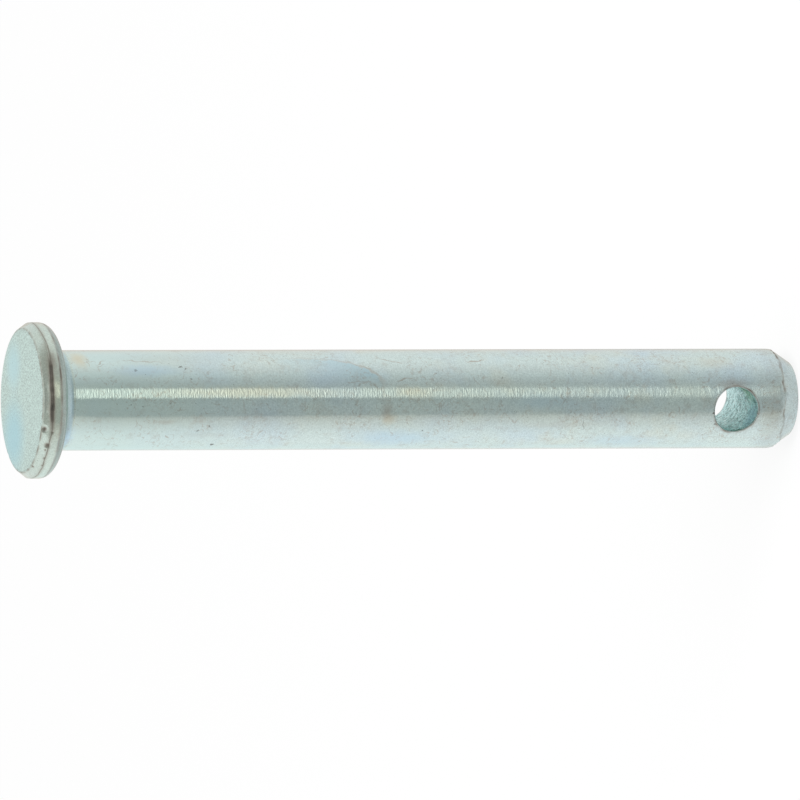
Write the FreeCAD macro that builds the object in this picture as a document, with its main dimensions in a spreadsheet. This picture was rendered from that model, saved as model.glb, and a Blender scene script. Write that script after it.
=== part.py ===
"""Headed clevis pin of zinc-plated steel, one solid piece, in millimetres.

The pin stands on the flat end of its nose with the head up. The origin is the centre of that flat
end, +Z runs along the pin's axis to the head, and the drilled cross hole runs along Y.
"""
import FreeCAD, Part
import math
import os

import Sketcher

V = FreeCAD.Vector

# How a sketch names the points of one of its lines or curves
START, END, CENTRE = (1, 2, 3)
ORIGIN_POINT = (-1, START)

# Driving sizes, in millimetres
SIZES = {
    # Shank: round bar, measured from the seat under the head to the flat end of the nose
    "shank_diameter": 16.0,
    "shank_length": 124.6,
    # Head: a flat disc with a bevel on its face and another on its seat side
    "head_diameter": 24.9,
    "head_thickness": 4.3,
    "face_bevel_width": 0.95,
    "face_bevel_height": 1.25,
    "seat_bevel_width": 1.1,
    "seat_bevel_height": 1.4,
    "seat_fillet_radius": 2.0,
    # Fold left by upsetting, where the face bevel meets the rim
    "lap_groove_width": 0.3,
    "lap_groove_depth": 0.22,
    # Nose: a cone behind a low shoulder, cut back to a flat end
    "nose_length": 2.9,
    "nose_shoulder": 0.22,
    "end_face_diameter": 11.8,
    # Cross hole for the retaining clip, drilled a little to the -X side of the axis
    "cross_hole_diameter": 7.25,
    "cross_hole_to_end": 11.2,
    "cross_hole_offset": 0.6,
    "cross_hole_edge_radius": 0.25,
}


def make_sheet(doc):
    """Put every driving size in the spreadsheet, with its name as the alias."""
    sheet = doc.addObject("Spreadsheet::Sheet", "Sizes")
    for row, (alias, size) in enumerate(SIZES.items(), start=1):
        sheet.set("A%d" % row, alias)
        sheet.set("B%d" % row, str(size))
        sheet.setAlias("B%d" % row, alias)
    doc.recompute()
    return sheet


def sketch_on_xz(body, name):
    """Add a sketch on the body's own XZ plane: sketch x is X, sketch y is Z."""
    sketch = body.newObject("Sketcher::SketchObject", name)
    plane = next(f for f in body.Origin.OriginFeatures if f.Role == "XZ_Plane")
    sketch.AttachmentSupport = [(plane, "")]
    sketch.MapMode = "FlatFace"
    return sketch


def bind(sketch, kind, where, name, value, formula):
    """Add a dimension to a sketch, name it and tie it to the sheet."""
    index = sketch.addConstraint(Sketcher.Constraint(kind, *where, value))
    sketch.renameConstraint(index, name)
    sketch.setExpression("Constraints." + name, formula)


def half_section(body):
    """Draw the half section of the turned and forged blank, from the nose to the head's face."""
    size = SIZES
    shank_radius = size["shank_diameter"] / 2
    end_radius = size["end_face_diameter"] / 2
    cone_radius = shank_radius - size["nose_shoulder"]
    fillet = size["seat_fillet_radius"]
    head_radius = size["head_diameter"] / 2
    seat_radius = head_radius - size["seat_bevel_width"]
    face_radius = head_radius - size["face_bevel_width"]
    nose_top = size["nose_length"]
    seat = size["shank_length"]
    rim_bottom = seat + size["seat_bevel_height"]
    face = seat + size["head_thickness"]
    rim_top = face - size["face_bevel_height"]
    groove_bottom = rim_top - size["lap_groove_width"]
    groove_middle = rim_top - size["lap_groove_width"] / 2
    groove_radius = head_radius - size["lap_groove_depth"]

    before_fillet = [
        (0, 0), (end_radius, 0), (cone_radius, nose_top), (shank_radius, nose_top),
        (shank_radius, seat - fillet),
    ]
    after_fillet = [
        (shank_radius + fillet, seat), (seat_radius, seat), (head_radius, rim_bottom),
        (head_radius, groove_bottom), (groove_radius, groove_middle), (head_radius, rim_top),
        (face_radius, face), (0, face),
    ]

    sketch = sketch_on_xz(body, "half_section")
    lower = [sketch.addGeometry(Part.LineSegment(V(*a, 0), V(*b, 0)), False)
             for a, b in zip(before_fillet, before_fillet[1:])]
    centre = V(shank_radius + fillet, seat - fillet, 0)
    arc = sketch.addGeometry(
        Part.ArcOfCircle(Part.Circle(centre, V(0, 0, 1), fillet), math.pi / 2, math.pi), False)
    upper = [sketch.addGeometry(Part.LineSegment(V(*a, 0), V(*b, 0)), False)
             for a, b in zip(after_fillet, after_fillet[1:])]
    axis = sketch.addGeometry(
        Part.LineSegment(V(*after_fillet[-1], 0), V(*before_fillet[0], 0)), False)
    end_face, cone, shoulder, shank = lower
    seat_face, seat_bevel, rim, groove_in, groove_out, face_bevel, head_face = upper

    # The outline is closed, with the fillet running smoothly into the shank and the seat
    add = sketch.addConstraint
    loop = [end_face, cone, shoulder, shank, arc, *upper, axis]
    for first, second in zip(loop, loop[1:] + loop[:1]):
        if first == arc:
            add(Sketcher.Constraint("Tangent", arc, START, second, START))
        elif second == arc:
            add(Sketcher.Constraint("Tangent", first, END, arc, END))
        else:
            add(Sketcher.Constraint("Coincident", first, END, second, START))
    add(Sketcher.Constraint("Coincident", end_face, START, *ORIGIN_POINT))
    for level in (end_face, shoulder, seat_face, head_face):
        add(Sketcher.Constraint("Horizontal", level))
    for upright in (shank, rim, axis):
        add(Sketcher.Constraint("Vertical", upright))
    add(Sketcher.Constraint("Vertical", rim, END, groove_out, END))

    # Widths and radii, from the axis
    bind(sketch, "DistanceX", (end_face, START, end_face, END), "end_face_radius", end_radius,
         "Sizes.end_face_diameter / 2")
    bind(sketch, "DistanceX", (shoulder, START, shoulder, END), "shoulder_width",
         size["nose_shoulder"], "Sizes.nose_shoulder")
    bind(sketch, "DistanceX", (*ORIGIN_POINT, shank, START), "shank_radius", shank_radius,
         "Sizes.shank_diameter / 2")
    bind(sketch, "DistanceX", (*ORIGIN_POINT, rim, START), "head_radius", head_radius,
         "Sizes.head_diameter / 2")
    bind(sketch, "DistanceX", (seat_bevel, START, seat_bevel, END), "seat_bevel_width",
         size["seat_bevel_width"], "Sizes.seat_bevel_width")
    bind(sketch, "DistanceX", (face_bevel, END, face_bevel, START), "face_bevel_width",
         size["face_bevel_width"], "Sizes.face_bevel_width")
    bind(sketch, "DistanceX", (groove_in, END, groove_in, START), "groove_depth",
         size["lap_groove_depth"], "Sizes.lap_groove_depth")
    bind(sketch, "Radius", (arc,), "fillet_radius", fillet, "Sizes.seat_fillet_radius")

    # Heights, from the flat end of the nose
    bind(sketch, "DistanceY", (cone, START, cone, END), "nose_height", nose_top,
         "Sizes.nose_length")
    bind(sketch, "DistanceY", (*ORIGIN_POINT, seat_face, START), "seat_height", seat,
         "Sizes.shank_length")
    bind(sketch, "DistanceY", (seat_face, START, head_face, START), "head_height",
         size["head_thickness"], "Sizes.head_thickness")
    bind(sketch, "DistanceY", (seat_bevel, START, seat_bevel, END), "seat_bevel_height",
         size["seat_bevel_height"], "Sizes.seat_bevel_height")
    bind(sketch, "DistanceY", (face_bevel, START, face_bevel, END), "face_bevel_height",
         size["face_bevel_height"], "Sizes.face_bevel_height")
    bind(sketch, "DistanceY", (groove_in, START, groove_out, END), "groove_width",
         size["lap_groove_width"], "Sizes.lap_groove_width")
    bind(sketch, "DistanceY", (groove_in, START, groove_in, END), "groove_half_width",
         size["lap_groove_width"] / 2, "Sizes.lap_groove_width / 2")
    return sketch


def turn_blank(body):
    """Turn the half section about the pin's axis into the solid blank."""
    sketch = half_section(body)
    blank = body.newObject("PartDesign::Revolution", "blank")
    blank.Profile = sketch
    blank.ReferenceAxis = (sketch, ["V_Axis"])
    blank.Angle = 360
    sketch.Visibility = False
    return blank


def drill_cross_hole(body):
    """Drill the hole for the clip straight through the shank near the nose."""
    sketch = sketch_on_xz(body, "cross_hole_circle")
    centre = V(-SIZES["cross_hole_offset"], SIZES["cross_hole_to_end"], 0)
    radius = SIZES["cross_hole_diameter"] / 2
    circle = sketch.addGeometry(Part.Circle(centre, V(0, 0, 1), radius), False)
    bind(sketch, "DistanceX", (circle, CENTRE, *ORIGIN_POINT), "offset", -centre.x,
         "Sizes.cross_hole_offset")
    bind(sketch, "DistanceY", (*ORIGIN_POINT, circle, CENTRE), "to_end", centre.y,
         "Sizes.cross_hole_to_end")
    bind(sketch, "Radius", (circle,), "hole_radius", radius, "Sizes.cross_hole_diameter / 2")
    hole = body.newObject("PartDesign::Pocket", "cross_hole")
    hole.Profile = sketch
    hole.SideType = "Symmetric"
    hole.Type = "ThroughAll"
    sketch.Visibility = False
    return hole


def is_hole_mouth(edge):
    """Tell whether an edge is one of the two saddle-shaped mouths of the cross hole."""
    hole_radius = SIZES["cross_hole_diameter"] / 2
    shank_radius = SIZES["shank_diameter"] / 2
    touch = 0.01
    for share in (0.1, 0.35, 0.6, 0.85):
        first, last = edge.ParameterRange
        point = edge.valueAt(first + share * (last - first))
        from_hole = math.hypot(point.x + SIZES["cross_hole_offset"],
                               point.z - SIZES["cross_hole_to_end"])
        from_axis = math.hypot(point.x, point.y)
        if abs(from_hole - hole_radius) > touch or abs(from_axis - shank_radius) > touch:
            return False
    return True


def ease_hole_mouths(body, hole):
    """Round the two mouths of the cross hole, as tumbling before plating leaves them."""
    mouths = ["Edge%d" % number for number, edge in enumerate(hole.Shape.Edges, start=1)
              if is_hole_mouth(edge)]
    easing = body.newObject("PartDesign::Fillet", "hole_mouth_rounding")
    easing.Base = (hole, mouths)
    easing.setExpression("Radius", "Sizes.cross_hole_edge_radius")
    return easing


def make_pin(doc):
    """Build the clevis pin: the turned blank, its cross hole and the hole's rounded mouths."""
    body = doc.addObject("PartDesign::Body", "ClevisPin")
    body.Label = "clevis_pin"
    turn_blank(body)
    doc.recompute()
    hole = drill_cross_hole(body)
    doc.recompute()
    ease_hole_mouths(body, hole)
    doc.recompute()
    return body


def check(doc, bodies):
    """Stop if any object failed to build or any piece isn't one valid solid."""
    for item in doc.Objects:
        if "Invalid" in item.State or "Error" in item.State:
            raise RuntimeError("%s did not build: %s" % (item.Name, item.State))
    for body in bodies:
        shape = body.Shape
        if shape.isNull() or not shape.isValid() or len(shape.Solids) != 1:
            raise RuntimeError("%s is not one valid solid" % body.Label)


doc = FreeCAD.newDocument("clevis_pin")
make_sheet(doc)
pin = make_pin(doc)
check(doc, [pin])

os.makedirs("parts", exist_ok=True)
for body in [pin]:
    body.Shape.exportStep("parts/%s.step" % body.Label)
    box = body.Shape.BoundBox
    print("%s: %.1f mm3, x %.2f to %.2f, y %.2f to %.2f, z %.2f to %.2f"
          % (body.Label, body.Shape.Volume, box.XMin, box.XMax, box.YMin, box.YMax,
             box.ZMin, box.ZMax))
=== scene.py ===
"""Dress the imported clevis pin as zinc-plated steel and light it for the photograph's view.

Sizes are in millimetres, angles in degrees, and meshes are made in metres. The pin stands on the flat
end of its nose. A turn is an angle about its axis, from -Y towards +X.
"""
import logging
import math
from dataclasses import dataclass, field
from enum import Enum
from typing import Any, Sequence

import bmesh
import bpy
from mathutils import Matrix, Vector, noise


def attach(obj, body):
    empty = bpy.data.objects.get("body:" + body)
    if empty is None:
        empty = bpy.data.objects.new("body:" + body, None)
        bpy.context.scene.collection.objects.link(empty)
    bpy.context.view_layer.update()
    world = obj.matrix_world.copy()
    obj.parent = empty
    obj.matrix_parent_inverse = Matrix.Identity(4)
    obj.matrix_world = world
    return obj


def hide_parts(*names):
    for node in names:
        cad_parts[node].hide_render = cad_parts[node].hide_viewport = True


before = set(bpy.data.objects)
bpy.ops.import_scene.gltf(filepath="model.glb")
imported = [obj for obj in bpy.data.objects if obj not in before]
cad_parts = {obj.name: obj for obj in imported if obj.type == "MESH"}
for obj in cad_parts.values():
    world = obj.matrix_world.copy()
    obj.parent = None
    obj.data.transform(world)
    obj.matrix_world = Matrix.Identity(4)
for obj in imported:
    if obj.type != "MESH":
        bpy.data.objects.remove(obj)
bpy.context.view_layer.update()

CAD_NODE = "clevis_pin"
BODY = "root"
MM = 0.001

Socket = bpy.types.NodeSocket
Amount = bpy.types.NodeSocket | float

log = logging.getLogger("clevis_pin")


def linear(code: str, light: float = 1.0) -> tuple[float, float, float, float]:
    """Turn an sRGB hex colour into the linear colour that a node takes.

    Args:
        code: Six hex digits, such as "d4e2df".
        light: What the linear colour is multiplied by.

    Returns:
        Linear red, green, blue and an alpha of 1.
    """
    parts = [int(code[at:at + 2], 16) / 255 for at in (0, 2, 4)]
    red, green, blue = (part / 12.92 if part <= 0.04045 else ((part + 0.055) / 1.055) ** 2.4
                        for part in parts)
    return (red * light, green * light, blue * light, 1.0)


def per_metre(size: float) -> float:
    """Give the texture scale at which a pattern's feature is `size` millimetres wide."""
    return 1.0 / (size * MM)


def around(turn: float, radius: float = 1.0, height: float = 0.0) -> Vector:
    """Give the point at a turn in degrees, a radius and a height, in the units passed in."""
    angle = math.radians(turn)
    return Vector((math.sin(angle) * radius, -math.cos(angle) * radius, height))


def turn_of(point: Vector) -> float:
    """Give a point's turn about the pin's axis, from -180 to 180 degrees."""
    return math.degrees(math.atan2(point.x, -point.y))


def ripple(point: Vector, grain: float, seed: float) -> float:
    """Give smooth repeatable unevenness from about -1 to 1.

    Args:
        point: A point in metres.
        grain: Rough width of one hump, in millimetres.
        seed: Any number, so that two ripples differ.

    Returns:
        The ripple's value there.
    """
    return noise.noise(point / (grain * MM) + Vector((seed, 2.3 * seed, 3.7 * seed))) * 1.6


def bell(value: float, centre: float, width: float) -> float:
    """Give 1 at the centre, falling smoothly to near 0 a `width` away."""
    return math.exp(-((value - centre) / width) ** 2 * 3.0)


def clamped(value: float, most: float = 1.0) -> float:
    """Keep a value between 0 and the most that it may be."""
    return min(most, max(0.0, value))


def spread(point: Vector, factor: float) -> None:
    """Multiply a point's distance from the pin's axis."""
    point.x *= factor
    point.y *= factor


def add_grime_and_shade(vert: bmesh.types.BMVert, grime: Any, amount: float) -> None:
    """Add dirt and painted shade to a vertex by an amount from 0 to 1, unless it holds more already."""
    vert[grime] = max(vert[grime], amount)


class NodeTree:
    """A material's or world's node tree, filled one node at a time."""

    def __init__(self, owner: bpy.types.ID) -> None:
        """Empty the owner's node tree and keep it.

        Args:
            owner: A material or a world.
        """
        owner.use_nodes = True
        self.tree = owner.node_tree
        self.tree.nodes.clear()

    def add(self, kind: str, inputs: dict[Any, Any] | None = None,
            stops: Sequence[tuple[float, Sequence[float]]] = (), **settings: Any) -> bpy.types.Node:
        """Add one node with its settings and links.

        Args:
            kind: The node's type without its ShaderNode prefix.
            inputs: Socket name or number, and the value or the socket to link to it.
            stops: Positions and colours of a colour ramp.
            settings: Other properties of the node.

        Returns:
            The new node.
        """
        node = self.tree.nodes.new("ShaderNode" + kind)
        for name, value in settings.items():
            setattr(node, name, value)
        for key, value in (inputs or {}).items():
            if isinstance(value, bpy.types.NodeSocket):
                self.tree.links.new(value, node.inputs[key])
            else:
                node.inputs[key].default_value = value
        if stops:
            elements = node.color_ramp.elements
            elements.remove(elements[1])
            elements[0].position, elements[0].color = stops[0]
            for spot, colour in stops[1:]:
                elements.new(spot).color = colour
        return node

    def calc(self, operation: str, *values: Amount, clamp: bool = False) -> Socket:
        """Work out one number from others."""
        return self.add("Math", dict(enumerate(values)), operation=operation, use_clamp=clamp).outputs[0]

    def product(self, first: Amount, *others: Amount) -> Socket:
        """Multiply numbers."""
        for other in others:
            first = self.calc("MULTIPLY", first, other)
        return first

    def vector(self, operation: str, *values: Any) -> Socket:
        """Work out one vector from others."""
        return self.add("VectorMath", dict(enumerate(values)), operation=operation).outputs[0]

    def measure(self, operation: str, *values: Any) -> Socket:
        """Work out one number from vectors, such as a length or a distance."""
        return self.add("VectorMath", dict(enumerate(values)), operation=operation).outputs["Value"]

    def scaled(self, vector: Socket, size: Amount) -> Socket:
        """Multiply a vector or a colour by one number."""
        return self.add("VectorMath", {0: vector, "Scale": size}, operation="SCALE").outputs[0]

    def parts(self, vector: Socket) -> tuple[Socket, ...]:
        """Take a vector apart into its X, Y and Z."""
        return tuple(self.add("SeparateXYZ", {0: vector}).outputs)

    def span(self, value: Socket, start: float = 0.0, end: float = 1.0, low: float = 0.0,
             high: float = 1.0, smooth: bool = False) -> Socket:
        """Turn a value that runs from start to end into one that runs from low to high."""
        return self.add("MapRange", {0: value, 1: start, 2: end, 3: low, 4: high},
                        interpolation_type="SMOOTHSTEP" if smooth else "LINEAR").outputs[0]

    def between(self, share: Amount, first: Amount, second: Amount) -> Socket:
        """Mix two numbers."""
        return self.add("Mix", {0: share, 2: first, 3: second}, data_type="FLOAT").outputs[0]

    def blend(self, share: Amount, first: Any, second: Any) -> Socket:
        """Mix two colours."""
        return self.add("Mix", {0: share, 6: first, 7: second}, data_type="RGBA").outputs[2]

    def wave(self, place: Socket, grain: float, detail: float = 2.0, seed: float | None = None,
             **inputs: float) -> Socket:
        """Make noise from 0 to 1.

        Args:
            place: The coordinates to read.
            grain: Rough width of one hump, in millimetres.
            detail: How many finer layers it has.
            seed: Any number, so that two sets differ, or nothing for the plain pattern.
            inputs: Other inputs of the node.

        Returns:
            The noise.
        """
        inputs |= {"Vector": place, "Scale": per_metre(grain), "Detail": detail}
        if seed is None:
            return self.add("TexNoise", inputs).outputs[0]
        return self.add("TexNoise", inputs | {"W": seed}, noise_dimensions="4D").outputs[0]

    def stretched(self, place: Socket, grains: tuple[float, float, float], detail: float = 1.0,
                  **inputs: float) -> Socket:
        """Make noise whose humps have their own width along each axis, in millimetres."""
        cell = self.vector("MULTIPLY", place, tuple(map(per_metre, grains)))
        return self.add("TexNoise", {"Vector": cell, "Scale": 1.0, "Detail": detail} | inputs).outputs[0]


class MarkKind(Enum):
    """What a single mark on the plating is."""

    PIT = "dark pit in the bar that the plating left open"
    STREAK = "thin brown line of drying stain"
    HAZE = "soft brown haze"
    STRAW = "straw tint where the passivation is thicker"
    BLOOM = "blue tint where the passivation is thinner"
    TIDE = "dried drop of the passivating bath, blue inside, with a thin brown line at its edge"


@dataclass(frozen=True)
class Mark:
    """One mark on the shank: an ellipse on the unrolled skin, its length along the pin at no tilt."""

    kind: MarkKind
    height: float
    turn: float
    length: float
    width: float
    tilt: float = 0.0
    strength: float = 1.0


@dataclass(frozen=True)
class Pool:
    """Where drops of the bath ran together while they dried, on the head's face or in the hole."""

    centre: Vector
    reach: float
    tint: str
    in_hole: bool = False


@dataclass(frozen=True)
class ZincPlatedSteel:
    """Zinc plated and blue-passivated mild steel, over turned bar, a forged head and a drilled hole.

    The plating gives a pale mint mirror with a satin grain, which drifts to blue and straw where the
    passivation is thicker. Turning rings under it catch the light as short bright ticks.
    """

    name: str = "zinc_plated_blue_passivated_steel"
    mint: str = "d3e3e0"
    blue: str = "c5dae8"
    straw: str = "dddcc6"
    green: str = "cfe4e0"
    rim: str = "cddbcf"
    # Painted reflection: a pale blue tint for the fillet and seat bevel under the head
    reflection_tint_under_head: str = "c6e0e4"
    face: str = "cce3dc"
    bloom: str = "bedaea"
    tide_fill: str = "b6d2da"
    stain: str = "a89584"
    # Dirt colours, which also paint a shade line along the head rim's lower edge
    thin_dirt_and_shade: str = "a1998e"
    dirt_and_shade: str = "787670"
    speck: str = "625a55"
    teal: str = "cdf0ee"
    skin_radius: float = 8.0
    # The ticks in the bright strip are one feed of the turning tool apart
    feed: float = 0.385
    ring_height: float = 0.00095
    # Widths and heights of the unevenness that the tool left: slow drift, fine tears, torn skin
    drift_arc: float = 60.0
    drift_height: float = 0.0023
    tear_arc: float = 0.7
    tear_height: float = 0.0098
    torn_arc: float = 2.2
    torn_height: float = 0.018
    # How much the skin leans for each millimetre along the pin, which slants the dark band's edge
    lean_per_mm: float = 0.00055
    grain: float = 0.26
    patch: float = 9.0
    squiggle: float = 3.2
    speck_spacing: float = 0.75
    speck_radius: float = 0.1
    pimple: float = 0.5
    # Roughness of the turned skin, near the head and near the nose, and of the other surfaces
    satin: float = 0.13
    dull: float = 0.22
    forged_rough: float = 0.17
    face_rough: float = 0.38
    bore_rough: float = 0.42
    dirt_rough: float = 0.7
    tide: Mark = Mark(MarkKind.TIDE, 84.0, 25.0, 26.6, 11.0)
    pools: tuple[Pool, ...] = (
        Pool(around(-118.0, 7.2, 128.9), 8.0, "acd9e3"),
        Pool(around(138.0, 7.0, 128.9), 5.5, "bfe2e6"),
        Pool(Vector((2.8, -4.8, 9.8)), 4.8, "a8d1a8", in_hole=True),
        Pool(Vector((-2.0, -6.0, 7.9)), 3.4, "a2ccd5", in_hole=True),
    )

    def make(self, marks: Sequence[Mark]) -> bpy.types.Material:
        """Make the material.

        Args:
            marks: The single marks on the shank.

        Returns:
            The material, which reads Object coordinates and the pin's own attributes.
        """
        material = bpy.data.materials.new(self.name)
        PlatedSkin(material, self, marks).link()
        return material


class PlatedSkin(NodeTree):
    """The zinc finish's nodes, with the coordinates and the shares from 0 to 1 that its layers read."""

    def __init__(self, owner: bpy.types.Material, finish: ZincPlatedSteel, marks: Sequence[Mark]) -> None:
        """Read the coordinates and the pin's attributes.

        Args:
            owner: The new material.
            finish: The finish's colours and sizes.
            marks: The single marks on the shank.
        """
        super().__init__(owner)
        self.finish = finish
        self.marks = marks
        self.forged, self.bore, self.grime, self.face, self.shaded_recess = (
            self.add("Attribute", attribute_name=name).outputs["Fac"]
            for name in ("forged", "bore", "grime", "face", "shaded_recess"))
        self.place = self.add("TexCoord").outputs["Object"]
        across, ahead, self.height = self.parts(self.place)
        turn = self.calc("ARCTAN2", across, self.product(ahead, -1.0))
        arc = self.product(turn, finish.skin_radius * MM)
        # Arc length and height in metres: the shank's skin rolled out flat
        self.unrolled = self.add("CombineXYZ", {0: arc, 1: self.height}).outputs[0]
        self.near_nose = self.span(self.height, 80 * MM, 12 * MM)
        self.turned = self.outside(self.forged, self.bore)
        self.swayed = self.sway()
        self.rings = self.scallops()
        self.nudged = self.nudge()

    def outside(self, first: Socket, second: Socket) -> Socket:
        """Give the share that neither of two surfaces takes."""
        return self.calc("SUBTRACT", 1.0, self.calc("MAXIMUM", first, second), clamp=True)

    def layered(self, colour: Any, *layers: tuple[Socket, str]) -> Socket:
        """Lay tints over a colour.

        Args:
            colour: The colour below.
            layers: Each layer's share and its sRGB tint, from the lowest up.

        Returns:
            The colour with the layers on it.
        """
        for share, tint in layers:
            colour = self.blend(share, colour, linear(tint))
        return colour

    def link(self) -> None:
        """Join colour, roughness and relief in one metal shader, with the dirt and the painted shade line
        of the rim's lower edge on top.
        """
        finish = self.finish
        # The dirt colours also paint the shade line along the head rim's lower edge
        deep = self.span(self.grime, 0.35, 0.8)
        dirt_and_shade = self.layered(linear(finish.thin_dirt_and_shade), (deep, finish.dirt_and_shade))
        cover = self.span(self.grime, 0.0, 0.6)
        colour = self.stained(self.tinted(self.plated()))
        shader = self.add("BsdfPrincipled", {
            "Base Color": self.blend(cover, colour, dirt_and_shade), "Metallic": 1.0,
            "Roughness": self.roughness(), "Normal": self.relief()})
        self.add("OutputMaterial", {"Surface": shader.outputs[0]})

    def sway(self) -> Socket:
        """Sway the coordinates along the pin, hardly at the head and strongly at the nose."""
        most = self.span(self.near_nose, 0.25, 0.9, 0.22 * MM, 1.2 * MM)
        lift = self.product(self.wave(self.place, 1.3, 1.0), most)
        return self.vector("ADD", self.place, self.add("CombineXYZ", {2: lift}).outputs[0])

    def scallops(self) -> Socket:
        """Cut the turning rings: scallops one feed apart, from 0 in a valley to 1 at a crest."""
        feeds = self.product(self.parts(self.swayed)[2], per_metre(self.finish.feed))
        double = self.product(self.calc("PINGPONG", feeds, 0.5), 2.0)
        return self.product(double, double)

    def nudge(self) -> Socket:
        """Nudge the unrolled skin about, so that marks drawn on it get uneven edges."""
        wobble = self.add("TexNoise", {"Vector": self.place, "Scale": per_metre(0.9), "Detail": 2.0})
        centred = self.vector("SUBTRACT", wobble.outputs[1], (0.5, 0.5, 0.5))
        return self.vector("ADD", self.unrolled, self.scaled(centred, 1.1 * MM))

    def plated(self) -> Socket:
        """Mix the passivation's mint, blue and straw, with the rings and fine specks in it, a painted
        reflection tint on the fillet and seat bevel, and painted shade in the recess under the head.

        Returns:
            The plating's colour, with the painted reflection tint and the painted shade.
        """
        finish = self.finish
        cloud = self.wave(self.place, finish.patch, 3.0, 3.0, Roughness=0.55)
        warm = self.wave(self.place, finish.patch * 0.6, 3.0, 9.0)
        # Painted reflection: a pale blue tint on the fillet and seat bevel under the head, for the light
        # they mirror
        fillet = self.span(self.shaded_recess, 0.0, 0.5, high=0.75)
        bevel = self.span(self.shaded_recess, 0.6, 1.0, 1.0, 0.3)
        colour = self.layered(
            linear(finish.mint),
            (self.span(cloud, 0.45, 0.70, high=0.55), finish.blue),
            (self.span(warm, 0.56, 0.76, high=0.32), finish.straw),
            (self.product(self.forged, 0.8), finish.rim),
            (self.product(fillet, bevel), finish.reflection_tint_under_head),
            (self.product(self.face, 0.9), finish.face),
            (self.bore, finish.teal))
        mottle = self.wave(self.place, finish.grain)
        speckled = self.between(self.face, self.span(mottle, 0.3, 0.7, 0.88, 1.09),
                                self.span(mottle, 0.32, 0.66, 0.66, 1.14))
        # The drill scored the hole's wall along its feed, across the pin
        scored = self.stretched(self.place, (1.0, 0.45, 1.0), 4.0, Roughness=0.75)
        scores = self.product(self.span(scored, 0.38, 0.58, 0.52, 1.22),
                              self.span(mottle, 0.34, 0.64, 0.62, 1.26))
        ringed = self.between(self.turned, 1.0, self.span(self.rings, low=1.015, high=0.975))
        # Painted shade: the recess under the head is darkened for the head's shadow
        shadowed = self.span(self.shaded_recess, low=1.0, high=0.72)
        tone = self.product(ringed, self.between(self.bore, speckled, scores), shadowed)
        return self.scaled(colour, tone)

    def tinted(self, colour: Socket) -> Socket:
        """Let the passivation run green towards the head and tint it at single places.

        Args:
            colour: The clean plating.

        Returns:
            The tinted colour.
        """
        finish = self.finish
        headward = self.span(self.height, 92 * MM, 114 * MM, high=0.7)
        colour = self.layered(colour, (self.product(headward, self.turned), finish.green),
                              (self.strongest(MarkKind.STRAW, 0.1), finish.straw),
                              (self.strongest(MarkKind.BLOOM, 0.1), finish.bloom))
        for pool in finish.pools:
            away = self.measure("DISTANCE", self.place, pool.centre * MM)
            near = self.span(away, pool.reach * MM, 0.15 * pool.reach * MM, high=0.75, smooth=True)
            where = self.bore if pool.in_hole else self.face
            colour = self.layered(colour, (self.product(near, where), pool.tint))
        return colour

    def stained(self, colour: Socket) -> Socket:
        """Lay the brown squiggles, hazes, specks, tide mark and single marks over the plating.

        Args:
            colour: The tinted plating.

        Returns:
            The stained colour.
        """
        finish = self.finish
        thin = self.calc("MAXIMUM", self.squiggles(finish.squiggle, 2.0, 0.4),
                         self.squiggles(finish.squiggle * 0.45, 6.0, 0.38))
        cloud = self.wave(self.place, 1.7, 4.0, 11.0, Roughness=0.7)
        film = self.product(self.span(cloud, 0.54, 0.75, high=0.34), self.outside(self.face, self.bore))
        blue_fill, brown_edge = self.tide_mark()
        brown = self.product(thin, self.turned)
        for layer in (film, self.product(brown_edge, 0.38), self.strongest(MarkKind.STREAK, 0.4),
                      self.product(self.strongest(MarkKind.HAZE, 0.0), 0.4)):
            brown = self.calc("MAXIMUM", brown, layer, clamp=True)

        cells = self.add("TexVoronoi", {"Vector": self.place, "Scale": per_metre(finish.speck_spacing)})
        inner, outer = (finish.speck_radius * share / finish.speck_spacing for share in (0.4, 1.0))
        lot = self.add("SeparateColor", {0: cells.outputs["Color"]}).outputs[0]
        dots = self.product(self.span(cells.outputs["Distance"], outer, inner),
                            self.span(lot, 0.3, 0.9, 0.08, 0.6))
        dark = self.calc("MAXIMUM", dots, self.strongest(MarkKind.PIT, 0.5), clamp=True)
        return self.layered(colour, (blue_fill, finish.tide_fill), (brown, finish.stain),
                            (dark, finish.speck))

    def squiggles(self, size: float, seed: float, strength: float) -> Socket:
        """Draw thin broken lines that wander over the skin in patches.

        Args:
            size: Rough size of the wandering, in millimetres.
            seed: Any number, so that two sets differ.
            strength: The lines' strength, up to 1.

        Returns:
            The lines, from 0 to their strength.
        """
        wander = self.wave(self.place, size, 2.0, seed, Distortion=0.4)
        near = self.calc("ABSOLUTE", self.calc("SUBTRACT", wander, 0.5))
        # Lines are drawn 0.15 mm wide, about a pixel; the real ones are finer
        wide = 0.05 / size
        shown = self.span(self.wave(self.place, 5.0, 1.0, seed + 3.0), 0.47, 0.58, high=strength)
        gaps = self.span(self.wave(self.place, 0.6), 0.44, 0.56)
        return self.product(self.span(near, wide, wide * 0.2), shown, gaps)

    def inside(self, mark: Mark) -> Socket:
        """Give the place in a mark's own circle, of radius 1, on the nudged skin."""
        arc = math.radians(mark.turn) * self.finish.skin_radius
        return self.add("Mapping", {
            "Vector": self.nudged, "Location": (arc * MM, mark.height * MM, 0.0),
            "Rotation": (0.0, 0.0, math.radians(mark.tilt)),
            "Scale": (mark.width / 2 * MM, mark.length / 2 * MM, 1.0)}, vector_type="TEXTURE").outputs[0]

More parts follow.
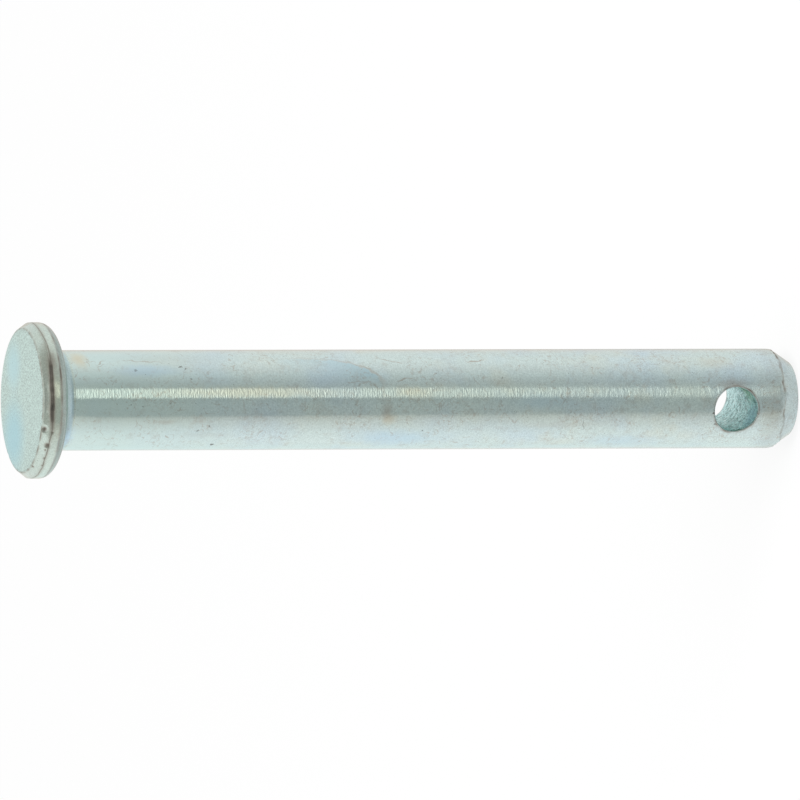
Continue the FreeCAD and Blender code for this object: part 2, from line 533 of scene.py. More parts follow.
    def tide_mark(self) -> tuple[Socket, Socket]:
        """Draw the dried drop, which shows only on its noseward and upper side.

        Returns:
            The blue inside and the brown edge, each from 0 to 1.
        """
        inside = self.inside(self.finish.tide)
        reach = self.measure("LENGTH", inside)
        across, along, _ = self.parts(inside)
        shown = self.product(self.span(along, 0.45, -0.75), self.span(across, -0.1, 0.35))
        fill = self.product(self.span(reach, 0.2, 0.9, high=0.8), self.span(reach, 1.0, 0.95))
        off = self.calc("ABSOLUTE", self.calc("SUBTRACT", reach, 1.0))
        return self.product(fill, shown), self.product(self.span(off, 0.045, 0.01), shown)

    def strongest(self, kind: MarkKind, core: float) -> Socket:
        """Draw all marks of one kind.

        Args:
            kind: The kind to draw.
            core: Share of a mark's radius that is at full strength.

        Returns:
            The strongest mark at each place, from 0 to 1.
        """
        result = None
        for mark in self.marks:
            if mark.kind is kind:
                reach = self.measure("LENGTH", self.inside(mark))
                shown = self.span(reach, 1.0, core, high=mark.strength, smooth=True)
                result = shown if result is None else self.calc("MAXIMUM", result, shown)
        return result

    def roughness(self) -> Socket:
        """Make the turned skin satin, duller at the nose, and the face, hole and dirt duller still.

        Returns:
            The roughness.
        """
        finish = self.finish
        base = self.span(self.near_nose, low=finish.satin, high=finish.dull)
        torn = self.span(self.rings, low=-0.02, high=0.02)
        worn = self.span(self.wave(self.place, 3.0, 4.0), 0.4, 0.7, -0.02, 0.05)
        rough = self.calc("ADD", self.calc("ADD", base, torn), worn)
        for share, level in ((self.forged, finish.forged_rough), (self.face, finish.face_rough),
                             (self.bore, finish.bore_rough), (self.grime, finish.dirt_rough)):
            rough = self.between(share, rough, level)
        return rough

    def relief(self) -> Socket:
        """Raise the rings and the fine grain, the forged head's pimples and the torn hole wall.

        Returns:
            The normal.
        """
        finish = self.finish
        arc, height, _ = self.parts(self.unrolled)
        # Deeper scallops below the first 20 mm under the head, shallow ones where the skin is torn
        deeper = self.span(height, 118 * MM, 98 * MM, 1.1, 1.2)
        fade = self.span(self.near_nose, 0.5, 0.8, finish.ring_height, finish.ring_height * 0.3)
        skin = self.product(self.rings, self.product(deeper, fade))
        torn_height = self.span(self.near_nose, 0.2, 0.9, high=finish.torn_height)
        for place, arc_grain, grain, depth in (
                (self.swayed, finish.drift_arc, 0.3, finish.drift_height),
                (self.place, finish.tear_arc, 0.3, finish.tear_height),
                (self.swayed, finish.torn_arc, 0.6, torn_height)):
            uneven = self.stretched(place, (arc_grain, arc_grain, grain))
            skin = self.calc("MULTIPLY_ADD", uneven, depth, skin)

        # The lower side leans a little more towards each end, and stops short of the head's fillet
        low = self.calc("MINIMUM", self.calc("SUBTRACT", arc, 0.3 * MM), 0.0)
        ends = self.span(height, 122.3 * MM, 117 * MM)
        lean = self.product(low, ends, self.calc("SUBTRACT", height, 66 * MM))
        skin = self.calc("MULTIPLY_ADD", lean, -finish.lean_per_mm / MM / MM, skin)

        lump = self.wave(self.place, finish.pimple, 3.0)
        grain = self.span(self.near_nose, low=0.003, high=0.010)
        skin = self.calc("MULTIPLY_ADD", lump, grain, skin)
        gouge = self.wave(self.place, 0.42, 4.0, Roughness=0.65, Distortion=0.3)
        # The added heights keep one mean level, so that no step shows where two finishes meet
        for share, bumps, depth, level in ((self.forged, lump, 0.012, 0.014),
                                           (self.face, lump, 0.05, -0.005),
                                           (self.bore, gouge, 0.19, -0.07)):
            skin = self.between(share, skin, self.calc("MULTIPLY_ADD", bumps, depth, level))
        return self.add("Bump", {"Strength": 1.0, "Distance": MM, "Height": skin}).outputs[0]


@dataclass(frozen=True)
class Corner:
    """One corner of the half section, with the length that its rounding takes off each side."""

    radius: float
    height: float
    rounding: float = 0.0
    segments: int = 3


@dataclass(frozen=True)
class Nose:
    """The turned nose: a flat end, a cone and a low torn lip where the cone meets the shank."""

    end_radius: float = 5.9
    cone_radius: float = 7.78
    length: float = 2.9
    lip_wander: float = 0.28

    def corners(self) -> list[Corner]:
        """List the nose's corners from the axis outwards."""
        return [Corner(0.0, 0.0), Corner(5.0, 0.0), Corner(self.end_radius, 0.0, 0.3, 4),
                Corner(self.cone_radius - 0.08, self.length - 0.12, 0.05, 2)]

    def wear(self, mesh: bmesh.types.BMesh) -> None:
        """Tear the lip round the cone's foot and darken it.

        Args:
            mesh: The pin's mesh, in metres.
        """
        grime = mesh.verts.layers.float["grime"]
        for vert in mesh.verts:
            height, radius = vert.co.z / MM, math.hypot(vert.co.x, vert.co.y) / MM
            upper = bell(turn_of(vert.co), 52.0, 50.0)
            film = 0.13 - 0.09 * upper + 0.04 * ripple(vert.co, 3.0, 6.0) if radius > 7.6 else 0.03
            add_grime_and_shade(vert, grime, film * bell(height, self.length + 1.6, 3.4))
            weight = bell(height, self.length + 0.1, 0.9)
            if radius < 7.3 or weight < 0.01:
                continue
            wave = ripple(vert.co, 2.4, 1.0) + 0.5 * ripple(vert.co, 0.8, 2.0)
            vert.co.z += weight * wave * self.lip_wander * MM
            tear = max(0.0, ripple(vert.co, 1.1, 4.0))
            spread(vert.co, 1.0 - 0.012 * weight * tear)
            # The torn lip is darkest on the side that lay uppermost
            here = bell(height, self.length + 0.05 + 0.22 * upper, 0.30 + 0.20 * upper)
            add_grime_and_shade(vert, grime, here * clamped(0.24 + 0.45 * tear + 0.26 * wave + 0.16 * upper, 0.75))


@dataclass(frozen=True)
class Shank:
    """The turned bar between the nose and the head."""

    radius: float = 8.0
    bottom: float = 2.9
    seat: float = 124.6
    fillet: float = 2.0
    # The forged skin of the head starts between these two heights
    forged_from: float = 122.25
    forged_to: float = 122.4
    # Rings lie closer between these two heights, round the cross hole
    fine_from: float = 5.0
    fine_to: float = 17.4

    def corners(self) -> list[Corner]:
        """List the shank's corners and the heights where the ring spacing changes."""
        return [Corner(self.radius - 0.12, self.bottom - 0.02, 0.06, 2),
                Corner(self.radius, self.bottom + 0.55, 0.4, 5), Corner(self.radius, self.fine_from),
                Corner(self.radius, self.fine_to), Corner(self.radius, self.forged_from),
                Corner(self.radius, self.forged_to), Corner(self.radius, self.seat, self.fillet, 14)]


@dataclass(frozen=True)
class Nick:
    """A small blow or tear in the head's edge."""

    turn: float
    radius: float
    height: float
    size: float
    depth: float


@dataclass(frozen=True)
class Head:
    """The forged head: convex seat bevel, rim with its lap groove, bevel and flat face."""

    seat_radius: float = 11.35
    radius: float = 12.45
    seat: float = 124.6
    rim_bottom: float = 125.85
    groove_bottom: float = 127.35
    rim_top: float = 127.65
    face: float = 128.9
    face_radius: float = 11.5
    groove_depth: float = 0.22
    # The skin is wholly forged, and starts to take painted shade in the recess under the head, from just
    # above these heights
    forged_from: float = 122.25
    recess_from: float = 122.48
    # Wear and the painted shade line reach in from the rim to this radius, and nicks press towards a point
    # at this height
    worn_from: float = 9.5
    nick_aim: float = 122.0
    nicks: tuple[Nick, ...] = (
        Nick(-13.2, 11.85, 128.5, 0.65, 0.22), Nick(-26.0, 12.4, 127.75, 0.78, 0.22),
        Nick(-14.8, 12.45, 127.3, 0.35, 0.10), Nick(-38.5, 12.4, 127.7, 0.4, 0.12),
        Nick(-30.5, 12.3, 127.9, 0.3, 0.10), Nick(-47.0, 12.4, 127.6, 0.35, 0.1),
        Nick(-55.0, 11.7, 128.7, 0.45, 0.15), Nick(131.0, 12.4, 127.6, 0.8, 0.25),
        Nick(-121.0, 11.8, 128.6, 0.7, 0.22), Nick(168.0, 12.45, 126.6, 0.6, 0.15),
    )

    @property
    def groove(self) -> float:
        """Give the height of the lap groove's middle."""
        return (self.groove_bottom + self.rim_top) / 2

    def corners(self) -> list[Corner]:
        """List the head's corners from the seat round to the middle of the face."""
        return [
            Corner(self.seat_radius, self.seat, 0.3, 3), Corner(12.07, 125.12, 0.4, 3),
            Corner(self.radius, self.rim_bottom, 0.4, 4), Corner(self.radius, self.groove_bottom, 0.07, 2),
            Corner(self.radius - self.groove_depth, self.groove, 0.06, 2),
            Corner(self.radius, self.rim_top, 0.1, 3), Corner(self.face_radius, self.face, 0.25, 4),
            Corner(10.4, self.face), Corner(0.0, self.face),
        ]

    def wear(self, mesh: bmesh.types.BMesh) -> None:
        """Say where the skin is forged or face and where the recess under the head gets painted shade, and
        wear the head's outer part.

        Args:
            mesh: The pin's mesh, in metres.
        """
        layers = mesh.verts.layers.float
        grime, forged, face, shaded_recess = (layers[name] for name in ("grime", "forged", "face", "shaded_recess"))
        for vert in mesh.verts:
            height, radius = vert.co.z / MM, math.hypot(vert.co.x, vert.co.y) / MM
            vert[forged] = clamped((height - self.forged_from) / 0.13)
            # Painted shade: the head's shadow over the seat bevel up to just above the rim's lower edge,
            # fainter on the fillet
            under = 0.55 if radius < 10.0 else 1.0
            edge = self.rim_bottom + 0.22 + 0.15 * ripple(vert.co, 1.4, 23.0)
            rising = clamped((height - self.recess_from) / 0.35)
            vert[shaded_recess] = under * rising * clamped((edge - height) / 0.2)
            if height < self.seat - 0.5:
                continue
            vert[face] = clamped((height - self.face + 0.12) / 0.1)
            if radius >= self.worn_from:
                self.wear_rim(vert, grime, height, radius)
                self.nick_edges(vert, grime)

    def wear_rim(self, vert: bmesh.types.BMVert, grime: Any, height: float, radius: float) -> None:
        """Vary the lap groove, waver the rim and bevels, dirty the groove and the face's edge, and paint a
        shade line along the rim's lower edge.

        Args:
            vert: A vertex on the head's outer part.
            grime: The layer that holds the dirt and the painted shade.
            height: The vertex's height.
            radius: Its distance from the axis.
        """
        turn = turn_of(vert.co)
        skin = around(turn, 12.0 * MM)
        wedge = bell(turn, 27.0, 22.0)
        if self.groove_bottom - 0.02 < height < self.rim_top + 0.02 and radius < self.radius + 0.01:
            deep = 0.45 + 0.18 * ripple(skin, 4.0, 7.0) + 0.15 * wedge + 0.10 * ripple(skin, 1.0, 8.0)
            deep = max(0.35 * wedge + 0.1, deep + 0.3 * bell(turn, -8.0, 26.0))
            open_up = 0.09 * (0.6 * wedge + 0.2 * ripple(skin, 1.3, 17.0))
            vert.co.z += open_up * (1.0 if height > self.groove else -1.0) * MM
            spread(vert.co, 1.0 - (self.radius - radius) * (deep - 1.0) / radius)
            inside = min(1.0, (self.radius - radius) / self.groove_depth * 1.3)
            add_grime_and_shade(vert, grime, min(0.9, 0.32 + 0.4 * deep) * inside)
        else:
            swell = 0.04 * ripple(skin, 5.0, 11.0) * bell(height, self.groove, 1.6)
            spread(vert.co, 1.0 + swell / radius)
        drift = 0.12 * ripple(skin, 6.0, 3.0) + 0.07 * ripple(skin, 1.5, 5.0)
        vert.co.z += drift * bell(height, self.groove, 1.1) * MM
        if radius > self.face_radius:
            lap = min(1.0, 1.6 * bell(turn, 15.0, 44.0)) * min(1.0, 1.6 * bell(height, self.groove, 0.60))
            smear = max(0.44 * bell(height, self.groove - 0.3, 1.5) * bell(turn, 40.0, 18.0),
                        0.34 * bell(height, self.groove, 0.46), 0.74 * lap)
            add_grime_and_shade(vert, grime, smear * (0.92 + 0.22 * ripple(skin, 0.9, 19.0)))
        upper = bell(math.hypot(radius - self.face_radius, height - self.face), 0.0, 0.36)
        add_grime_and_shade(vert, grime, upper * clamped(0.36 + 0.30 * ripple(skin, 1.2, 13.0), 0.6))
        # Painted shade: a dark line along the rim's lower edge, strongest on the side towards the camera,
        # for the dark reflection on that rounded edge
        rim_shade_line = bell(math.hypot(radius - self.radius, height - self.rim_bottom - 0.12), 0.0, 0.36)
        tint = (0.60 + 0.24 * ripple(skin, 1.6, 15.0)) * (0.55 + 0.45 * bell(turn, 15.0, 50.0))
        add_grime_and_shade(vert, grime, rim_shade_line * clamped(tint, 0.7))

    def nick_edges(self, vert: bmesh.types.BMVert, grime: Any) -> None:
        """Press the nicks into the head's edges.

        Args:
            vert: A vertex on the head's outer part.
            grime: The layer that holds the dirt and the painted shade.
        """
        for nick in self.nicks:
            centre = around(nick.turn, nick.radius * MM, nick.height * MM)
            near = (vert.co - centre).length / (nick.size * MM)
            if near < 1.0:
                bite = (1.0 - near * near) ** 2
                inward = Vector((centre.x, centre.y, centre.z - self.nick_aim * MM)).normalized()
                vert.co -= inward * nick.depth * bite * MM
                add_grime_and_shade(vert, grime, 0.7 * bite)


@dataclass(frozen=True)
class CrossHole:
    """The drilled cross hole near the nose, a little to one side of the axis."""

    radius: float = 3.625
    height: float = 11.2
    offset: float = -0.6
    shank_radius: float = 8.0
    mouth_rounding: float = 0.25
    window: float = 4.6
    skirt_cuts: int = 7
    wall_cuts: int = 34

    def drill(self, mesh: bmesh.types.BMesh) -> None:
        """Open both sides of the shank and join their round mouths by the hole's wall.

        Args:
            mesh: The pin's mesh, in metres, with faces fine enough round the hole.
        """
        mouths = self.open_side(mesh, -1) + self.open_side(mesh, 1)
        bmesh.ops.bridge_loops(mesh, edges=mouths)
        bmesh.ops.bevel(mesh, geom=mouths, offset=self.mouth_rounding * MM, offset_type="OFFSET",
                        segments=4, profile=0.5, affect="EDGES", material=-1)
        long_edges = [edge for edge in mesh.edges
                      if self.from_axis(edge.verts[0].co) < self.radius + 0.01
                      and self.from_axis(edge.verts[1].co) < self.radius + 0.01
                      and abs(edge.verts[0].co.y - edge.verts[1].co.y) > 8.0 * MM]
        bmesh.ops.subdivide_edges(mesh, edges=long_edges, cuts=self.wall_cuts, use_grid_fill=True)

    def open_side(self, mesh: bmesh.types.BMesh, side: int) -> list[bmesh.types.BMEdge]:
        """Cut a window in one side of the shank and fill it in to a round mouth.

        Args:
            mesh: The pin's mesh.
            side: -1 for the front and 1 for the back.

        Returns:
            The mouth's edges.
        """
        doomed = [face for face in mesh.faces if self.in_window(face.calc_center_median(), side)]
        bmesh.ops.delete(mesh, geom=doomed, context="FACES")
        window = self.open_edges(mesh, side)
        corners = {vert for edge in window for vert in edge.verts}
        angles = sorted(self.bearing(vert.co) for vert in corners)
        ring = bmesh.ops.create_circle(mesh, cap_ends=False, radius=self.radius * MM,
                                       segments=len(angles))["verts"]
        for vert, angle in zip(ring, angles):
            x = self.offset + self.radius * math.cos(angle)
            y = side * math.sqrt(self.shank_radius ** 2 - x ** 2)
            vert.co = Vector((x, y, self.height + self.radius * math.sin(angle))) * MM
        mouth = sorted({edge for vert in ring for edge in vert.link_edges}, key=lambda edge: edge.index)
        skirt = bmesh.ops.bridge_loops(mesh, edges=window + mouth)
        ribs = [edge for edge in skirt["edges"] if edge.is_valid and edge not in mouth]
        cut = bmesh.ops.subdivide_edges(mesh, edges=ribs, cuts=self.skirt_cuts, use_grid_fill=True)
        for vert in {item for item in cut["geom_inner"] if isinstance(item, bmesh.types.BMVert)}:
            spread(vert.co, self.shank_radius * MM / math.hypot(vert.co.x, vert.co.y))
        return self.open_edges(mesh, side)

    def open_edges(self, mesh: bmesh.types.BMesh, side: int) -> list[bmesh.types.BMEdge]:
        """List the edges on one side of the shank that have a face on one side only."""
        return [edge for edge in mesh.edges if len(edge.link_faces) == 1
                and edge.verts[0].co.y * side > 0 and edge.verts[1].co.y * side > 0]

    def in_window(self, point: Vector, side: int) -> bool:
        """Tell whether a point on one side of the shank lies in the square window."""
        return (point.y * side > 3 * MM and abs(point.x / MM - self.offset) < self.window
                and abs(point.z / MM - self.height) < self.window)

    def bearing(self, point: Vector) -> float:
        """Give a point's angle about the hole's own axis, in radians."""
        return math.atan2(point.z / MM - self.height, point.x / MM - self.offset)

    def from_axis(self, point: Vector) -> float:
        """Give a point's distance from the hole's own axis."""
        return math.hypot(point.z / MM - self.height, point.x / MM - self.offset)

    def wear(self, mesh: bmesh.types.BMesh) -> None:
        """Roughen the drilled wall with torn feed marks and make the mouths a little uneven.

        Args:
            mesh: The pin's mesh, in metres.
        """
        grime = mesh.verts.layers.float["grime"]
        bore = mesh.verts.layers.float["bore"]
        for vert in mesh.verts:
            reach = self.from_axis(vert.co)
            if vert.co.z > 20 * MM or reach > self.radius + 0.9:
                continue
            out = Vector((vert.co.x / MM - self.offset, 0.0, vert.co.z / MM - self.height)) / reach
            depth = self.shank_radius - math.hypot(vert.co.x, vert.co.y) / MM
            if reach < self.radius + 0.05 and depth > 0.15:
                vert[bore] = min(1.0, (depth - 0.15) / 0.3)
                tear = ripple(vert.co, 1.1, 21.0) + 0.6 * ripple(vert.co, 0.55, 22.0)
                angle = math.atan2(out.z, out.x)
                feed = math.sin((vert.co.y / MM / 0.9 + angle / math.tau) * math.tau)
                vert.co += out * (0.06 * tear + 0.012 * feed) * vert[bore] * MM
            mouth = bell(reach, self.radius + 0.2, 0.35) * bell(depth, 0.0, 0.6)
            uneven = ripple(vert.co, 1.3, 31.0)
            vert.co += out * 0.05 * uneven * mouth * MM
            stain = 0.30 + 0.26 * uneven + 0.16 * max(0.0, out.x) - 0.14 * max(0.0, out.z)
            add_grime_and_shade(vert, grime, mouth * max(0.0, stain))


@dataclass
class ClevisPin:
    """The whole pin: one solid with a nose, a shank, a head and a cross hole."""

    finish: ZincPlatedSteel
    marks: Sequence[Mark]
    nose: Nose = field(default_factory=Nose)
    shank: Shank = field(default_factory=Shank)
    head: Head = field(default_factory=Head)
    hole: CrossHole = field(default_factory=CrossHole)
    # Enough steps for the nicks in the head's rim: one step there is 0.2 mm
    steps: int = 384
    sharp_angle: float = 38.0

    def build(self) -> bpy.types.Object:
        """Build the pin over its CAD node.

        Returns:
            The pin's object.
        """
        mesh = bmesh.new()
        self.draw_half_section(mesh)
        bmesh.ops.spin(mesh, geom=mesh.verts[:] + mesh.edges[:], cent=(0, 0, 0), axis=(0, 0, 1),
                       angle=math.tau, steps=self.steps, use_merge=True)
        bmesh.ops.remove_doubles(mesh, verts=mesh.verts[:], dist=0.002 * MM)
        self.hole.drill(mesh)
        bmesh.ops.recalc_face_normals(mesh, faces=mesh.faces[:])
        for name in ("grime", "forged", "face", "bore", "shaded_recess"):
            mesh.verts.layers.float.new(name)
        self.nose.wear(mesh)
        self.head.wear(mesh)
        self.hole.wear(mesh)
        loose = [edge for edge in mesh.edges if len(edge.link_faces) != 2]
        log.info("pin: %d faces, %d open edges", len(mesh.faces), len(loose))
        data = bpy.data.meshes.new("clevis_pin_dressed")
        mesh.to_mesh(data)
        mesh.free()
        data.shade_smooth()
        data.set_sharp_from_angle(angle=math.radians(self.sharp_angle))
        data.materials.append(self.finish.make(self.marks))
        pin = bpy.data.objects.new("clevis_pin_dressed", data)
        bpy.context.scene.collection.objects.link(pin)
        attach(pin, BODY)
        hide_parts(CAD_NODE)
        return pin

    def draw_half_section(self, mesh: bmesh.types.BMesh) -> None:
        """Draw the half section as a wire in the XZ plane, round its corners and divide it.

        Args:
            mesh: The empty mesh to draw in.
        """
        corners = self.nose.corners() + self.shank.corners() + self.head.corners()
        verts = [mesh.verts.new((corner.radius * MM, 0.0, corner.height * MM)) for corner in corners]
        for first, second in zip(verts, verts[1:]):
            mesh.edges.new((first, second))
        for vert, corner in zip(verts, corners):
            if corner.rounding:
                bmesh.ops.bevel(mesh, geom=[vert], offset=corner.rounding * MM, offset_type="OFFSET",
                                segments=corner.segments, profile=0.5, affect="VERTICES", material=-1)
        for edge in mesh.edges[:]:
            middle = (edge.verts[0].co + edge.verts[1].co) / 2 / MM
            cuts = math.ceil(edge.calc_length() / MM / self.spacing(middle)) - 1
            if cuts > 0:
                bmesh.ops.subdivide_edges(mesh, edges=[edge], cuts=cuts)

    def spacing(self, point: Vector) -> float:
        """Give the ring spacing that a place on the half section needs.

        Args:
            point: The place, in millimetres.

        Returns:
            The spacing in millimetres.
        """
        if point.z > self.head.seat - 0.1:
            return 1.3 if point.x < 10.4 and point.z > self.head.face - 0.1 else 0.14
        if point.z < self.shank.fine_from:
            return 1.0 if point.x < 5.0 else 0.22
        return 0.4 if point.z < self.shank.fine_to else 2.2


@dataclass(frozen=True)
class Level:
    """How light the studio is at one turn from the camera, as the pin mirrors it."""

    turn: float
    light: float
    tint: str = "ffffff"


@dataclass(frozen=True)
class Studio:
    """A white floor, a soft lamp, a camera, and a room whose graded walls only reflections see."""

    camera_turn: float = 9.35
    camera_tilt: float = 18.138
    camera_roll: float = 0.168
    camera_distance: float = 3204.7
    lens: float = 900.96
    look_height: float = 66.33
    shift_right: float = 0.746
    shift_down: float = 0.093
    white: str = "ffffff"
    paper: str = "ececec"
    # Light of the walls at the pin's own level, where the shank mirrors them
    walls: tuple[Level, ...] = (
        Level(-180.0, 0.80, "f4ede6"), Level(-166.0, 0.90, "faf6f2"), Level(-150.0, 0.985, "f7ffff"),
        Level(-115.0, 0.985), Level(-95.0, 0.97), Level(-79.0, 0.92), Level(-50.0, 0.755, "fffcf8"),
        Level(-41.0, 0.66, "fffcf6"), Level(-37.2, 0.57, "fffcf6"), Level(-34.8, 0.465, "fbfffc"),
        Level(-10.0, 0.472, "f9fffc"), Level(-2.0, 0.447, "f9fffc"), Level(10.0, 0.447, "f9fffc"),
        Level(27.0, 0.48, "fbfffc"), Level(33.0, 0.515, "fbfffc"), Level(41.0, 0.54, "fbffff"),
        Level(50.0, 0.605, "fbffff"), Level(60.0, 0.70, "fbffff"), Level(72.0, 0.765),
        Level(81.0, 0.835), Level(96.0, 0.91), Level(112.0, 0.91), Level(130.0, 0.895),
        Level(150.0, 0.885, "fffaf6"), Level(163.0, 0.80, "f6ebe3"), Level(180.0, 0.80, "f6ebe3"),
    )
    # Light of the walls higher up, where the head's bevel and face mirror them
    upper_walls: tuple[Level, ...] = (
        Level(-180.0, 0.92), Level(-100.0, 0.96), Level(-62.0, 0.94), Level(-48.0, 0.52, "fffdf6"),
        Level(-20.0, 0.37, "fffcf8"), Level(12.0, 0.36, "fffcf8"), Level(34.0, 0.42, "fffcf8"),
        Level(60.0, 0.46, "fffcf8"), Level(85.0, 0.52, "fffdf8"), Level(105.0, 0.84), Level(180.0, 0.92),
    )
    # Light of the floor below the pin, where the seat side of the head mirrors its shadowed part
    lower_walls: tuple[Level, ...] = (
        Level(-180.0, 0.48), Level(-162.0, 0.56), Level(-142.0, 0.86), Level(-104.0, 0.70),
        Level(-70.0, 0.72), Level(-40.0, 0.74), Level(-28.0, 0.76), Level(28.0, 0.74),
        Level(60.0, 0.72), Level(104.0, 0.66), Level(142.0, 0.80), Level(162.0, 0.56),
        Level(180.0, 0.48),
    )
    # A low lamp: the turning rings mirror it most where they tip the right way, which makes the ticks
    strip_from: float = 4.6
    strip_to: float = 26.5
    strip_light: float = 1.45
    strip_tint: str = "fdfcf1"
    strip_rise: float = -13.3
    strip_reach: float = 7.5
    # Light of the room on matt surfaces
    room_light: float = 0.88

    def build(self) -> None:
        """Set up the floor, the light, the room and the camera."""
        self.lay_floor()
        self.hang_lamp()
        self.make_room()
        self.place_camera()
        bpy.context.scene.view_settings.view_transform = "Standard"

    def lay_floor(self) -> None:
        """Lay a pale floor that shows white and keeps the pin's shadow."""
        mesh = bmesh.new()
        bmesh.ops.create_grid(mesh, x_segments=1, y_segments=1, size=6.0)
        data = bpy.data.meshes.new("studio_floor")
        mesh.to_mesh(data)
        mesh.free()
        # Matt paper: an even white with a soft shadow and no shine
        material = bpy.data.materials.new("matt_white_paper")
        nodes = NodeTree(material)
        paper = nodes.add("BsdfDiffuse", {"Color": linear(self.paper)}).outputs[0]
        glow = nodes.add("Emission", {"Color": linear(self.white), "Strength": 1.0}).outputs[0]
        white = nodes.add("MixShader", {0: 0.85, 1: paper, 2: glow}).outputs[0]
        path = nodes.add("LightPath").outputs
        seen = nodes.calc("MAXIMUM", path["Is Camera Ray"], path["Is Glossy Ray"])
        seen = nodes.calc("MAXIMUM", seen, path["Is Transmission Ray"])
        shown = nodes.add("MixShader", {0: seen, 1: paper, 2: white}).outputs[0]
        nodes.add("OutputMaterial", {"Surface": shown})
        data.materials.append(material)
        floor = bpy.data.objects.new("studio_floor", data)
        bpy.context.scene.collection.objects.link(floor)
        # The polished pin mirrors the room's graded walls down to below its foot, not the bare floor
        floor.visible_glossy = False

    def hang_lamp(self) -> None:
        """Hang one soft lamp overhead for the floor's shadow."""
        data = bpy.data.lights.new("soft_overhead", "AREA")
        data.shape = "DISK"
        data.size = 0.9
        data.energy = 8.0
        lamp = bpy.data.objects.new("soft_overhead", data)
        lamp.location = (0.35, -0.5, 1.1)
        lamp.rotation_euler = (-lamp.location).to_track_quat("-Z", "Y").to_euler()
        lamp.visible_glossy = False
        bpy.context.scene.collection.objects.link(lamp)

    def make_room(self) -> None:
        """Make the room: white to the camera, plain to matt surfaces, graded walls to polished ones."""
        world = bpy.data.worlds.new("pale_studio_room")
        bpy.context.scene.world = world
        world.cycles.sampling_method = "NONE"
        nodes = NodeTree(world)
        facing = nodes.add("TexCoord").outputs["Generated"]
        spin = (0.0, 0.0, -math.radians(self.camera_turn))
        turned = nodes.add("Mapping", {"Vector": facing, "Rotation": spin}, vector_type="VECTOR").outputs[0]
        across, ahead, up = nodes.parts(turned)
        turn = nodes.calc("ARCTAN2", across, nodes.product(ahead, -1.0))
        turn = nodes.product(turn, 180 / math.pi)
        rise = nodes.product(nodes.calc("ARCSINE", up), 180 / math.pi)

        left = nodes.span(turn, self.strip_from - 0.6, self.strip_from + 0.6)
        right = nodes.span(turn, self.strip_to + 2.0, self.strip_to - 2.8)
        tip = nodes.calc("ABSOLUTE", nodes.calc("SUBTRACT", rise, self.strip_rise))
        strip = nodes.product(left, right, nodes.span(tip, self.strip_reach, 0.0, smooth=True))
        room = self.graded(nodes, turn, self.walls)
        for share, light in (
                (strip, linear(self.strip_tint, self.strip_light)),
                (nodes.span(rise, -6.0, 2.0), self.graded(nodes, turn, self.upper_walls)),
                (nodes.span(rise, -27.0, -46.0), self.graded(nodes, turn, self.lower_walls)),
                (nodes.span(rise, 60.0, 68.0), linear(self.paper))):
            room = nodes.blend(share, room, light)

        path = nodes.add("LightPath").outputs
        graded, plain, white = (
            nodes.add("Background", {"Color": colour, "Strength": strength}).outputs[0]
            for colour, strength in ((room, 1.0), (linear(self.white), self.room_light),
                                     (linear(self.white), 1.0)))
        shown = nodes.add("MixShader", {0: path["Is Glossy Ray"], 1: plain, 2: graded}).outputs[0]
        seen = nodes.calc("MAXIMUM", path["Is Camera Ray"], path["Is Transmission Ray"])
        shown = nodes.add("MixShader", {0: seen, 1: shown, 2: white}).outputs[0]
        nodes.add("OutputWorld", {"Surface": shown})

    def graded(self, nodes: NodeTree, turn: Socket, levels: Sequence[Level]) -> Socket:
        """Grade the walls' light by turn.

        Args:
            nodes: The tree to add to.
            turn: The turn from the camera, in degrees.
            levels: The light at each turn, in order.

        Returns:
            The walls' light as a colour.
        """
        stops = [((level.turn + 180) / 360, linear(level.tint, level.light)) for level in levels]
        return nodes.add("ValToRGB", {0: nodes.span(turn, -180.0, 180.0)}, stops=stops).outputs[0]

    def place_camera(self) -> None:
        """Place the camera at the photograph's angle, turned so that the head lies to the left."""
        tilt, roll = math.radians(self.camera_tilt), math.radians(self.camera_roll)
        ahead = -around(self.camera_turn) * math.cos(tilt) - Vector((0.0, 0.0, math.sin(tilt)))
        noseward = (Vector((0.0, 0.0, -1.0)) - ahead * math.sin(tilt)).normalized()
        across = ahead.cross(noseward)
        right = noseward * math.cos(roll) + across * math.sin(roll)
        down = across * math.cos(roll) - noseward * math.sin(roll)
        target = Vector((0.0, 0.0, self.look_height)) + right * self.shift_right + down * self.shift_down
        data = bpy.data.cameras.new("photo_camera")
        data.sensor_width = 36.0
        data.lens = self.lens
        data.clip_start, data.clip_end = 0.1, 100.0
        camera = bpy.data.objects.new("photo_camera", data)
        turn = Matrix((right, -down, -ahead)).transposed()
        place = target * MM - ahead * self.camera_distance * MM
        camera.matrix_world = Matrix.Translation(place) @ turn.to_4x4()
        bpy.context.scene.collection.objects.link(camera)
        bpy.context.scene.camera = camera


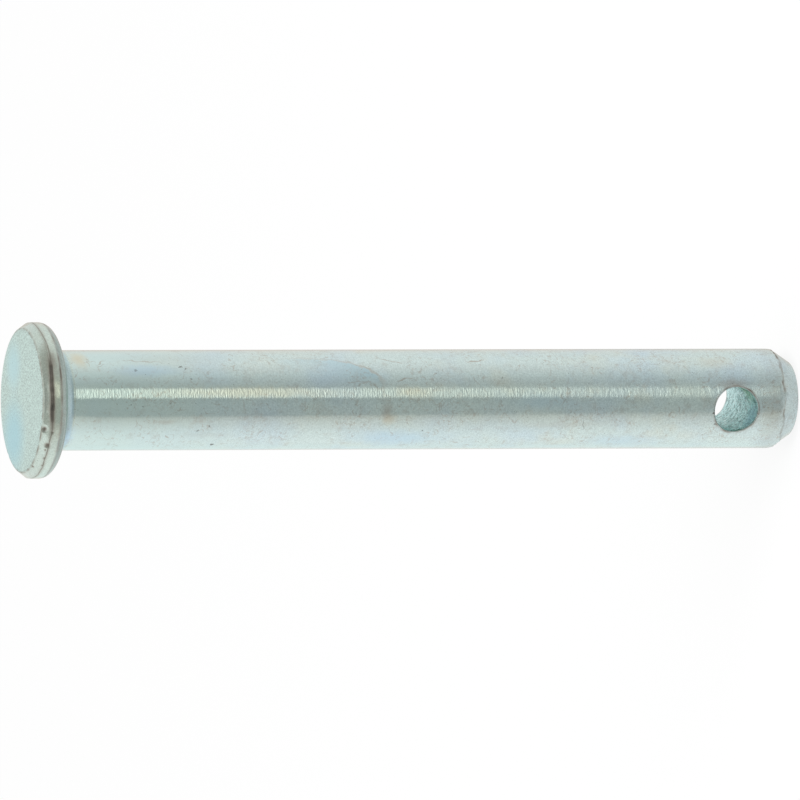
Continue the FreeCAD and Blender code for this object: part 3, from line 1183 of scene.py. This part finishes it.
# Each row is a height, turn, length, width, tilt and strength, read off the photograph one by one
SHANK_MARKS = tuple(Mark(kind, *row) for kind, rows in {
    MarkKind.PIT: (
        (104.3, 50.6, 0.9, 0.35, 30.0, 0.75), (103.6, 47.5, 0.8, 0.3, 30.0, 0.6),
        (111.8, 46.3, 0.5, 0.35, 0.0, 0.45), (102.8, 32.9, 0.45, 0.4, 0.0, 0.4),
        (98.3, -53.1, 0.9, 0.8, 0.0, 0.75), (99.6, -21.8, 0.5, 0.6, 0.0, 0.55),
        (101.6, -28.7, 0.45, 0.4, 0.0, 0.5), (113.1, 2.8, 0.5, 0.4, 0.0, 0.5),
        (111.0, 1.6, 0.4, 0.35, 0.0, 0.4), (63.9, -29.1, 0.45, 0.4, 0.0, 0.55),
        (50.7, 34.0, 0.5, 0.4, 0.0, 0.45), (36.8, -22.2, 0.3, 2.6, 6.0, 0.4),
        (14.95, -7.7, 0.5, 0.5, 0.0, 0.8), (14.5, -21.4, 0.5, 0.45, 0.0, 0.7),
    ),
    MarkKind.STREAK: (
        (117.3, 57.5, 2.6, 0.35, 35.0, 0.5), (110.5, 60.0, 9.5, 0.3, -6.0, 0.45),
        (67.0, 33.5, 4.0, 0.35, 12.0, 0.5), (69.0, 60.0, 6.8, 0.3, -18.0, 0.5),
        (54.6, 58.4, 4.6, 0.4, 10.0, 0.6), (57.7, -49.4, 1.8, 0.5, -14.0, 0.5),
        (106.5, -38.0, 1.3, 0.5, -40.0, 0.5),
    ),
    MarkKind.HAZE: (
        (107.3, -16.4, 6.5, 1.2, 4.0, 0.7), (70.2, -5.0, 2.8, 5.6, 0.0, 1.0),
        (70.9, 20.0, 0.9, 5.0, 0.0, 0.6), (70.0, -13.0, 3.6, 2.6, 0.0, 0.6),
        (76.5, -50.0, 3.0, 0.8, -10.0, 0.6), (30.8, 51.9, 1.2, 0.8, 40.0, 0.9),
        (22.3, 58.3, 2.6, 1.0, -10.0, 0.9), (14.0, 58.0, 9.0, 3.0, 0.0, 0.3),
        (120.8, 63.0, 4.4, 5.4, 0.0, 0.35), (11.6, 26.5, 8.0, 2.2, 0.0, 1.0),
        (105.5, 62.0, 30.0, 6.0, 0.0, 0.34), (113.0, 40.0, 16.0, 3.0, 0.0, 0.2),
        (100.0, -35.0, 14.0, 2.2, 0.0, 0.35), (4.3, 5.0, 1.6, 1.3, 0.0, 0.9),
        (40.0, -22.0, 20.0, 1.6, 1.0, 0.4),
    ),
    MarkKind.STRAW: (
        (127.0, 16.0, 3.4, 11.0, 0.0, 0.4), (120.8, 65.0, 4.2, 6.4, 0.0, 0.85),
        # The straw row at 94 mm and turn 18 lies along the bright strip and paints the lamp's warm
        # highlight into the plating
        (94.0, 18.0, 42.0, 2.8, 0.0, 0.5), (69.8, -14.0, 3.6, 2.8, 0.0, 0.4),
        (66.0, 18.0, 8.0, 2.8, 0.0, 0.5), (14.0, 56.0, 9.0, 4.0, 0.0, 0.3),
    ),
    MarkKind.BLOOM: (
        (110.0, 45.0, 16.0, 3.6, 0.0, 0.55), (68.0, -42.0, 22.0, 6.0, 0.0, 0.6),
        (44.0, 6.0, 16.0, 4.0, 0.0, 0.4), (30.0, -48.0, 18.0, 5.0, 0.0, 0.4),
        # The two blooms at 122.9 and 123 mm lie on the fillet and paint its light blue reflection
        (122.9, -10.0, 1.3, 16.0, 0.0, 0.4), (123.0, -38.0, 3.0, 7.0, 0.0, 0.7),
    ),
}.items() for row in rows
)


def main() -> None:
    """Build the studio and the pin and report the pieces."""
    logging.basicConfig(level=logging.INFO, format="%(message)s")
    Studio().build()
    log.info("studio: floor, lamp, room and camera")
    pin = ClevisPin(ZincPlatedSteel(), SHANK_MARKS).build()
    log.info("%s: %d faces, rides on %s", pin.name, len(pin.data.polygons), BODY)


if __name__ == "__main__":
    main()
